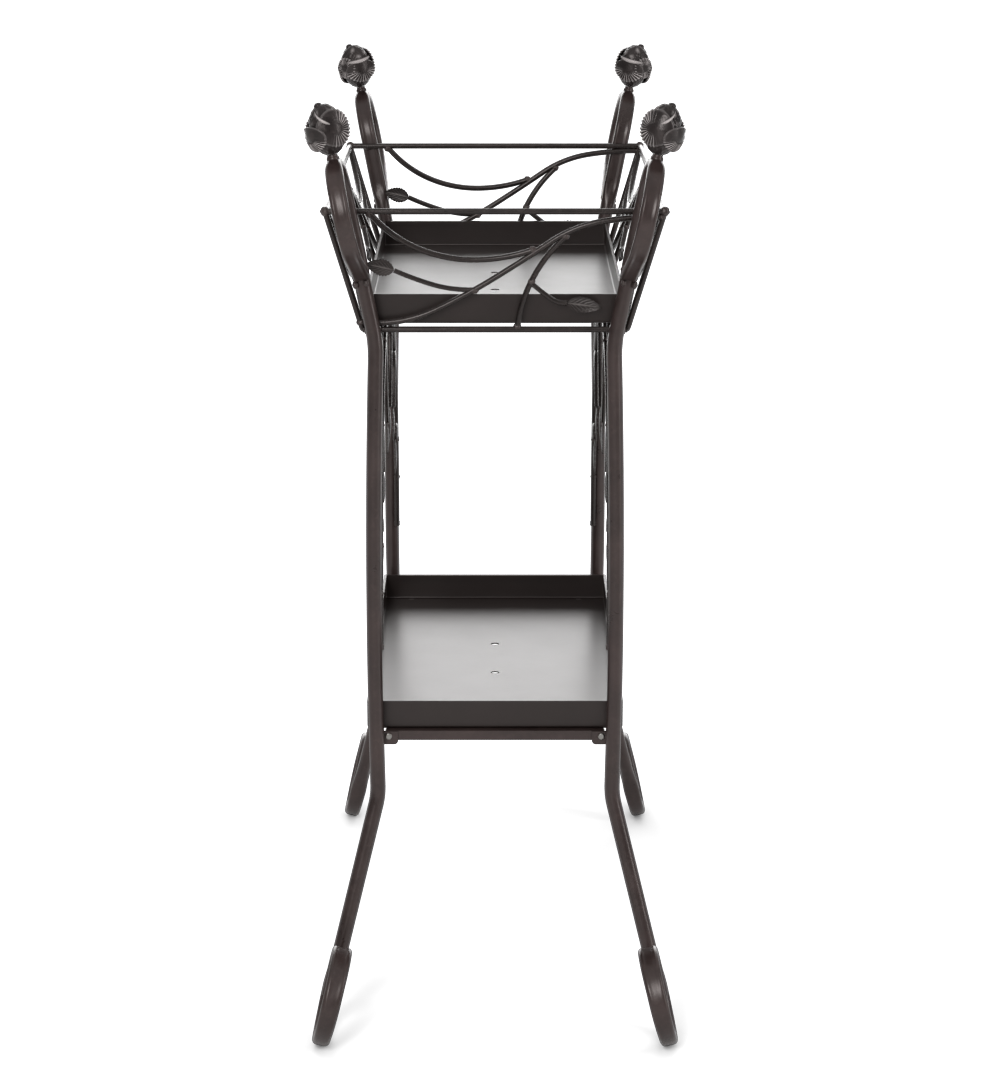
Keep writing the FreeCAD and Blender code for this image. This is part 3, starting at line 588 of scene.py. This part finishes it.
for side, side_x in (("left", -1), ("right", 1)):
    grids, tacks = [], []
    for half in (-1, 1):
        for base, tip in apron_leaves:
            grids.append(leaf_grid(apron_spot(*base, side_x, half), apron_spot(*tip, side_x, half),
                                   np.array([float(side_x), 0, 0])))
        tacks += [bead(apron_spot(*spot, side_x, half), apron_tack, (0, 0, 1), 1.3, index)
                  for index, spot in enumerate(apron_joints)]
    fit_piece("hanging_" + side + "_leaves", grids, leaf_coat,
              [side + "_apron_leaves"])
    fit_piece(side + "_apron_tacks", tacks, weld_coat)
    # The apron rods take the darker coat, painted shade.
    refinish([side + "_apron_stems", side + "_apron_braces", side + "_apron_twigs"], shaded_rod_coat)


# Trays, end bars and tabs. Both trays are folded from sheet steel with a hemmed rim and two drain holes, and
# their coat is smoother than the tube's, so that the floors mirror the room. The lower one is screwed to flat
# bars, which have the tube's coat.

tray_coat = coated("tray_sheet_coat", deep=(0.012, 0.008, 0.0072), rubbed=(0.016, 0.011, 0.010),
                   gloss=(0.32, 0.345), peel_size=900.0, peel_height=0.000006, shine=0.45, coat=0.03)
refinish(["upper_tray", "lower_tray"], tray_coat)
refinish(["lower_tray_bar_front", "lower_tray_bar_rear", "leg_tabs"], bronze)


# Screws, nuts and studs. Plain steel hardware with a thin zinc plate, faintly mottled and dulled by handling.

def zinc_plate():
    """Zinc: a grey metal whose tone and gloss follow a fine mottled noise."""
    material = bpy.data.materials.new("bright_zinc_plate")
    material.use_nodes = True
    tree = material.node_tree
    surface = tree.nodes["Principled BSDF"]
    where = tree.nodes.new("ShaderNodeTexCoord").outputs["Object"]
    mottle = place(tree, "ShaderNodeTexNoise", {"Vector": where, "Scale": 900.0, "Detail": 4.0})
    tone = place(tree, "ShaderNodeMix", {"Factor": mottle.outputs["Fac"], "A": (0.20, 0.19, 0.18, 1),
                                         "B": (0.34, 0.33, 0.31, 1)}, data_type="RGBA")
    gloss = place(tree, "ShaderNodeMapRange", {"Value": mottle.outputs["Fac"], "To Min": 0.22,
                                               "To Max": 0.42})
    bump = place(tree, "ShaderNodeBump", {"Strength": 0.3, "Distance": 0.00008,
                                          "Height": mottle.outputs["Fac"]})
    tree.links.new(tone.outputs["Result"], surface.inputs["Base Color"])
    tree.links.new(gloss.outputs["Result"], surface.inputs["Roughness"])
    tree.links.new(bump.outputs["Normal"], surface.inputs["Normal"])
    surface.inputs["Metallic"].default_value = 1.0
    return material


refinish(["tab_screws", "tab_nuts", "tray_screws", "finial_studs"], zinc_plate())


# Studio. A white room whose pale floor only catches the contact shadows. A soft box at the front left and a
# strip at the right light the tubes, the tray floors mirror a bright panel behind, and the camera stands at
# eye height in front of one short end.

floor_mesh = bpy.data.meshes.new("studio_floor")
floor_mesh.from_pydata([(-6, -6, 0), (6, -6, 0), (6, 10, 0), (-6, 10, 0)], [], [(0, 1, 2, 3)])
floor = bpy.data.objects.new("studio_floor", floor_mesh)
bpy.context.scene.collection.objects.link(floor)
pale = bpy.data.materials.new("pale_floor")
pale.use_nodes = True
pale.node_tree.nodes["Principled BSDF"].inputs["Base Color"].default_value = (0.9, 0.9, 0.9, 1)
pale.node_tree.nodes["Principled BSDF"].inputs["Roughness"].default_value = 0.9
floor_mesh.materials.append(pale)
floor.is_shadow_catcher = True

world = bpy.data.worlds.new("white_room")
world.use_nodes = True
room = world.node_tree
sight = place(room, "ShaderNodeLightPath", {}).outputs["Is Camera Ray"]
backdrop = place(room, "ShaderNodeBackground", {"Color": (1, 1, 1, 1), "Strength": 1.4})
direction = room.nodes.new("ShaderNodeTexCoord").outputs["Generated"]
height_of = place(room, "ShaderNodeSeparateXYZ", {"Vector": direction})
glow = place(room, "ShaderNodeMapRange", {"Value": height_of.outputs["Z"], "From Min": -0.1,
                                          "From Max": 0.9, "To Min": 0.16, "To Max": 0.80}).outputs["Result"]
tinted = place(room, "ShaderNodeCombineColor", {"Red": glow, "Green": glow, "Blue": glow})
walls = room.nodes["Background"]
walls.inputs["Strength"].default_value = 0.9
room.links.new(tinted.outputs["Color"], walls.inputs["Color"])
seen_room = place(room, "ShaderNodeMixShader", {0: sight, 1: walls.outputs[0], 2: backdrop.outputs[0]})
room.links.new(seen_room.outputs[0], room.nodes["World Output"].inputs["Surface"])
bpy.context.scene.world = world
bpy.context.scene.view_settings.view_transform = "Standard"


def soft_light(name, stand_at, aim, size, power):
    """A wide area light that the camera doesn't see, turned towards a point."""
    lamp = bpy.data.lights.new(name, "AREA")
    lamp.shape = "RECTANGLE"
    lamp.size, lamp.size_y = size
    lamp.energy = power
    lit = bpy.data.objects.new(name, lamp)
    lit.location = stand_at
    lit.rotation_euler = (Vector(aim) - Vector(stand_at)).to_track_quat("-Z", "Y").to_euler()
    lit.visible_camera = False
    bpy.context.scene.collection.objects.link(lit)


soft_light("front_soft_box", stand_at=(-0.9, -3.4, 2.2), aim=(0, 0, 0.6), size=(0.9, 1.8), power=62)
soft_light("right_strip", stand_at=(2.6, -1.2, 1.4), aim=(0, 0, 0.6), size=(0.5, 2.4), power=26)
soft_light("rear_panel", stand_at=(0, 4.0, 1.3), aim=(0, 0, 0.7), size=(4.5, 2.6), power=118)

look_down = math.radians(13.51)
camera = bpy.data.cameras.new("eye_height_camera")
camera.lens = 106.8
camera.sensor_width = 36.0
seen = bpy.data.objects.new("eye_height_camera", camera)
seen.location = (0.0, -3.622, 1.324)
seen.rotation_euler = (math.pi / 2 - look_down, 0, 0)
bpy.context.scene.collection.objects.link(seen)
bpy.context.scene.camera = seen
